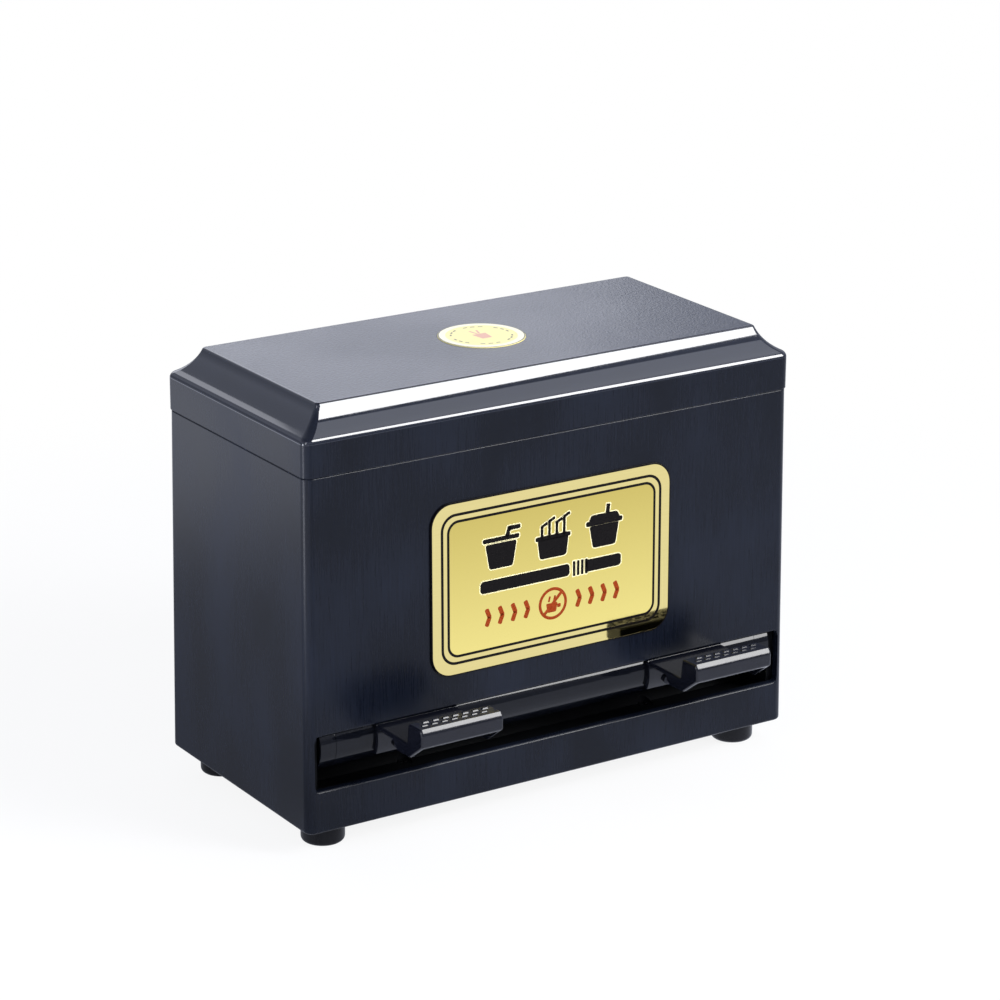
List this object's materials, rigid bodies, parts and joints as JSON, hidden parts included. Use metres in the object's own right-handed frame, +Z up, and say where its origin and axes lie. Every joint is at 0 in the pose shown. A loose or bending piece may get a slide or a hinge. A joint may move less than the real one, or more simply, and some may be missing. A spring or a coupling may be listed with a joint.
{
  "type": "straw dispenser",
  "caption": "Countertop straw dispenser: drafted box with a lift-off coved lid, a grooved roller behind a full-width front slot and two finger levers that turn it.",
  "frame": {"origin": "on the table, under the middle of the whole outline, levers included", "axes": "+X along the width, to the right of someone facing the slot; +Y to the back; +Z up"},
  "size_m": [0.235, 0.148, 0.185],
  "materials": {
    "black_abs": "fine brushed grain",
    "gloss_abs": "gloss",
    "inner_abs": "matt",
    "gold_plate": "mirror with black and red print",
    "cream_print": "satin print",
    "foot_rubber": "satin",
    "wiper_rubber": "matt",
    "nylon": "natural",
    "pin_steel": "ground",
    "spring_steel": "bright wire",
    "zinc_steel": "zinc plated"
  },
  "bodies": {
    "cabinet": {"body_shell": "black_abs", "front_label": "gold_plate", "base_plate": "inner_abs", "foot_front_left": "foot_rubber", "foot_front_right": "foot_rubber", "foot_rear_left": "foot_rubber", "foot_rear_right": "foot_rubber", "foot_screws": "zinc_steel", "straw_trough": "inner_abs", "trough_screws": "zinc_steel", "left_cheek": "inner_abs", "right_cheek": "inner_abs", "cheek_screws": "zinc_steel", "left_bush": "nylon", "right_bush": "nylon", "straw_chute": "inner_abs", "left_side_guide": "inner_abs", "right_side_guide": "inner_abs", "chute_screws": "zinc_steel", "front_wiper": "wiper_rubber"},
    "roller_unit": {"straw_roller": "gloss_abs", "left_end_cap": "gloss_abs", "spring_cup": "gloss_abs", "left_axle_pin": "pin_steel", "right_axle_pin": "pin_steel", "stop_pin": "pin_steel", "return_spring": "spring_steel", "left_lever": "gloss_abs", "right_lever": "gloss_abs", "lever_screws": "zinc_steel"},
    "lid_unit": {"lid": "black_abs", "lid_medallion": "cream_print"}
  },
  "joints": [
    {"name": "lever_press", "type": "hinge", "parent": "cabinet", "child": "roller_unit", "pos_m": [0, -0.027, 0.0445], "axis": [1, 0, 0], "range_deg": [0, 55], "stiffness_Nm_per_rad": 0.12, "springref_deg": -34.38, "deforming": ["return_spring"]},
    {"name": "lid_lift", "type": "slide", "parent": "cabinet", "child": "lid_unit", "axis": [0, 0, 1], "range_m": [0, 0.06]}
  ]
}
